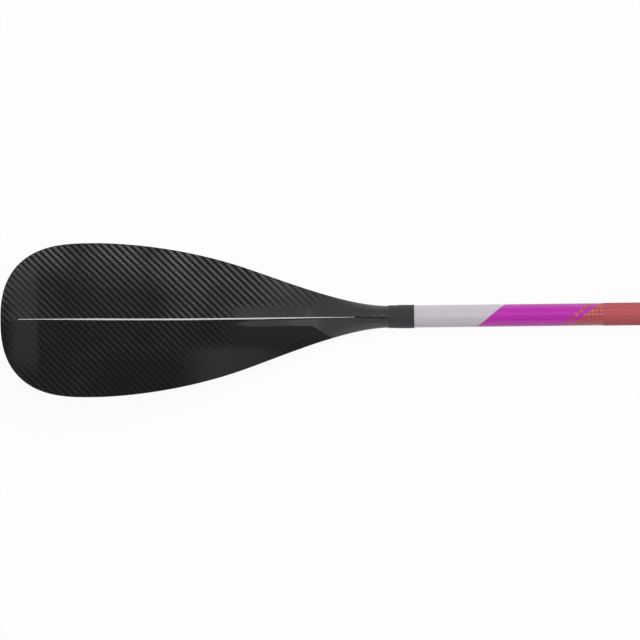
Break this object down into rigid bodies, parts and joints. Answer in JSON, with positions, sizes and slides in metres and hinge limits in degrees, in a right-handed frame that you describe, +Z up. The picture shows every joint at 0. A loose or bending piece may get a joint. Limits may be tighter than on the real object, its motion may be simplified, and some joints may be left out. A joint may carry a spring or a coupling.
{
  "type": "stand-up paddleboard paddle",
  "caption": "Adjustable paddle with a broad cupped carbon blade, a slim round shaft, a cam lever clamp and a telescoping handle with a palm grip.",
  "frame": {"origin": "on the ground, under the middle of the paddle's box as it lies with the blade's back face up", "axes": "+X along the shaft from the blade's tip to the grip, +Y across the blade, +Z up out of the blade's back face"},
  "size_m": [1.8, 0.1802, 0.0822],
  "materials": {
    "carbon_twill": "gloss",
    "foam": "matte",
    "rim_plastic": "satin",
    "bare_alloy": "satin",
    "shrink_tube": "satin",
    "painted_carbon": "gloss",
    "coral_film": "matte",
    "dark_carbon": "gloss",
    "black_nylon": "satin",
    "pale_acetal": "satin",
    "black_steel": "satin",
    "steel": "satin",
    "seal_rubber": "matte"
  },
  "bodies": {
    "blade_and_shaft": {"blade_back_skin": "carbon_twill", "blade_power_skin": "carbon_twill", "blade_foam_core": "foam", "blade_edge_rail": "rim_plastic", "neck_ferrule": "bare_alloy", "neck_shrink_sleeve": "shrink_tube", "main_shaft": "painted_carbon", "anti_slip_film": "coral_film", "shaft_foam_bung": "foam", "clamp_collar": "black_nylon", "clamp_liner": "pale_acetal", "clamp_bolt": "black_steel", "bolt_washer": "steel", "cam_washer": "pale_acetal", "lever_barrel_nut": "steel"},
    "lever": {"clamp_lever": "black_nylon"},
    "handle": {"handle_tube": "dark_carbon", "handle_tube_plug": "pale_acetal", "plug_o_ring": "seal_rubber", "grip_insert": "black_nylon", "grip_back_shell": "black_nylon", "grip_palm_shell": "black_nylon"}
  },
  "joints": [
    {"name": "handle_slide", "type": "slide", "parent": "blade_and_shaft", "child": "handle", "axis": [1, 0, 0], "range_m": [-0.1, 0.3]},
    {"name": "lever_hinge", "type": "hinge", "parent": "blade_and_shaft", "child": "lever", "pos_m": [0.7026, -0.0172, 0.0409], "axis": [-1, 0, 0], "range_deg": [0, 150]}
  ]
}
